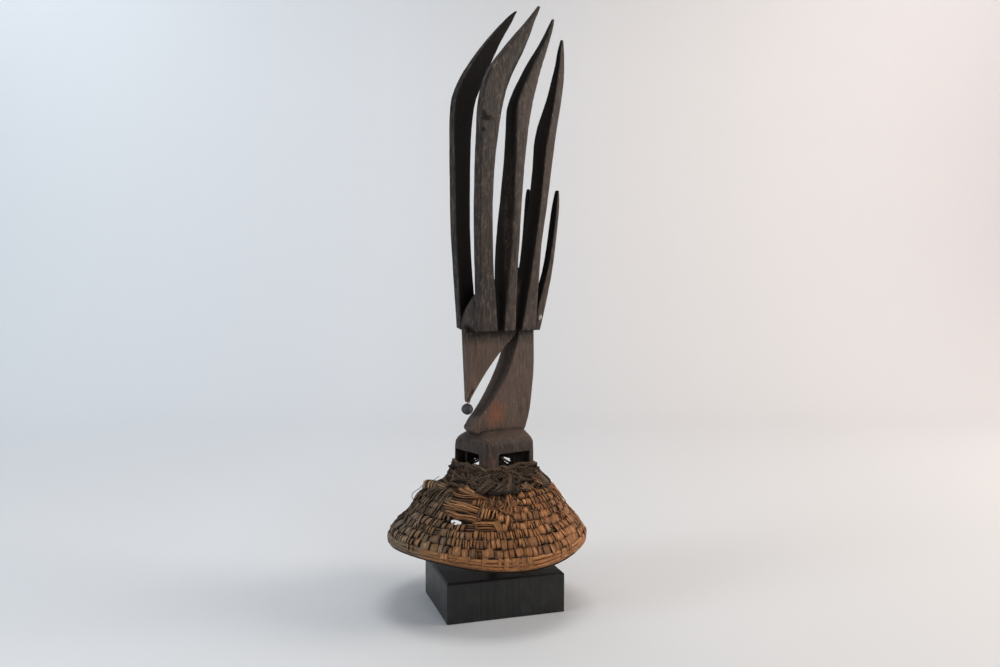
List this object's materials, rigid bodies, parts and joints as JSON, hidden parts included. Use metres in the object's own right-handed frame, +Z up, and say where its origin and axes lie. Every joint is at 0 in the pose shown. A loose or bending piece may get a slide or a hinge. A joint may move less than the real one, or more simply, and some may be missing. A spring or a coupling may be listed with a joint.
{
  "type": "chi wara headdress on a block stand",
  "caption": "Carved antelope headdress with two rows of curved horns, tied to a coiled straw cap, held up by a plain black block.",
  "frame": {"origin": "centre of the block's underside", "axes": "+Z up; the carved animal faces -X and its two rows of horns stand on the -Y and +Y sides"},
  "size_m": [0.2134, 0.2134, 0.649],
  "materials": {
    "stand_black": "satin black paint",
    "post_steel": "black",
    "straw": "coiled plant fibre wrapped with flat splints",
    "dark_cord": "twisted dark cord",
    "aged_wood": "dark, hand-worn and softly shiny",
    "thread": "light brown thread",
    "bead_dark": "dark and uneven"
  },
  "bodies": {
    "root": {"display_block": "stand_black", "mounting_post": "post_steel", "basket_cap": "straw", "cord_lashing": "dark_cord", "wood_carving": "aged_wood", "snout_thread": "thread", "snout_bead": "bead_dark"}
  },
  "joints": []
}
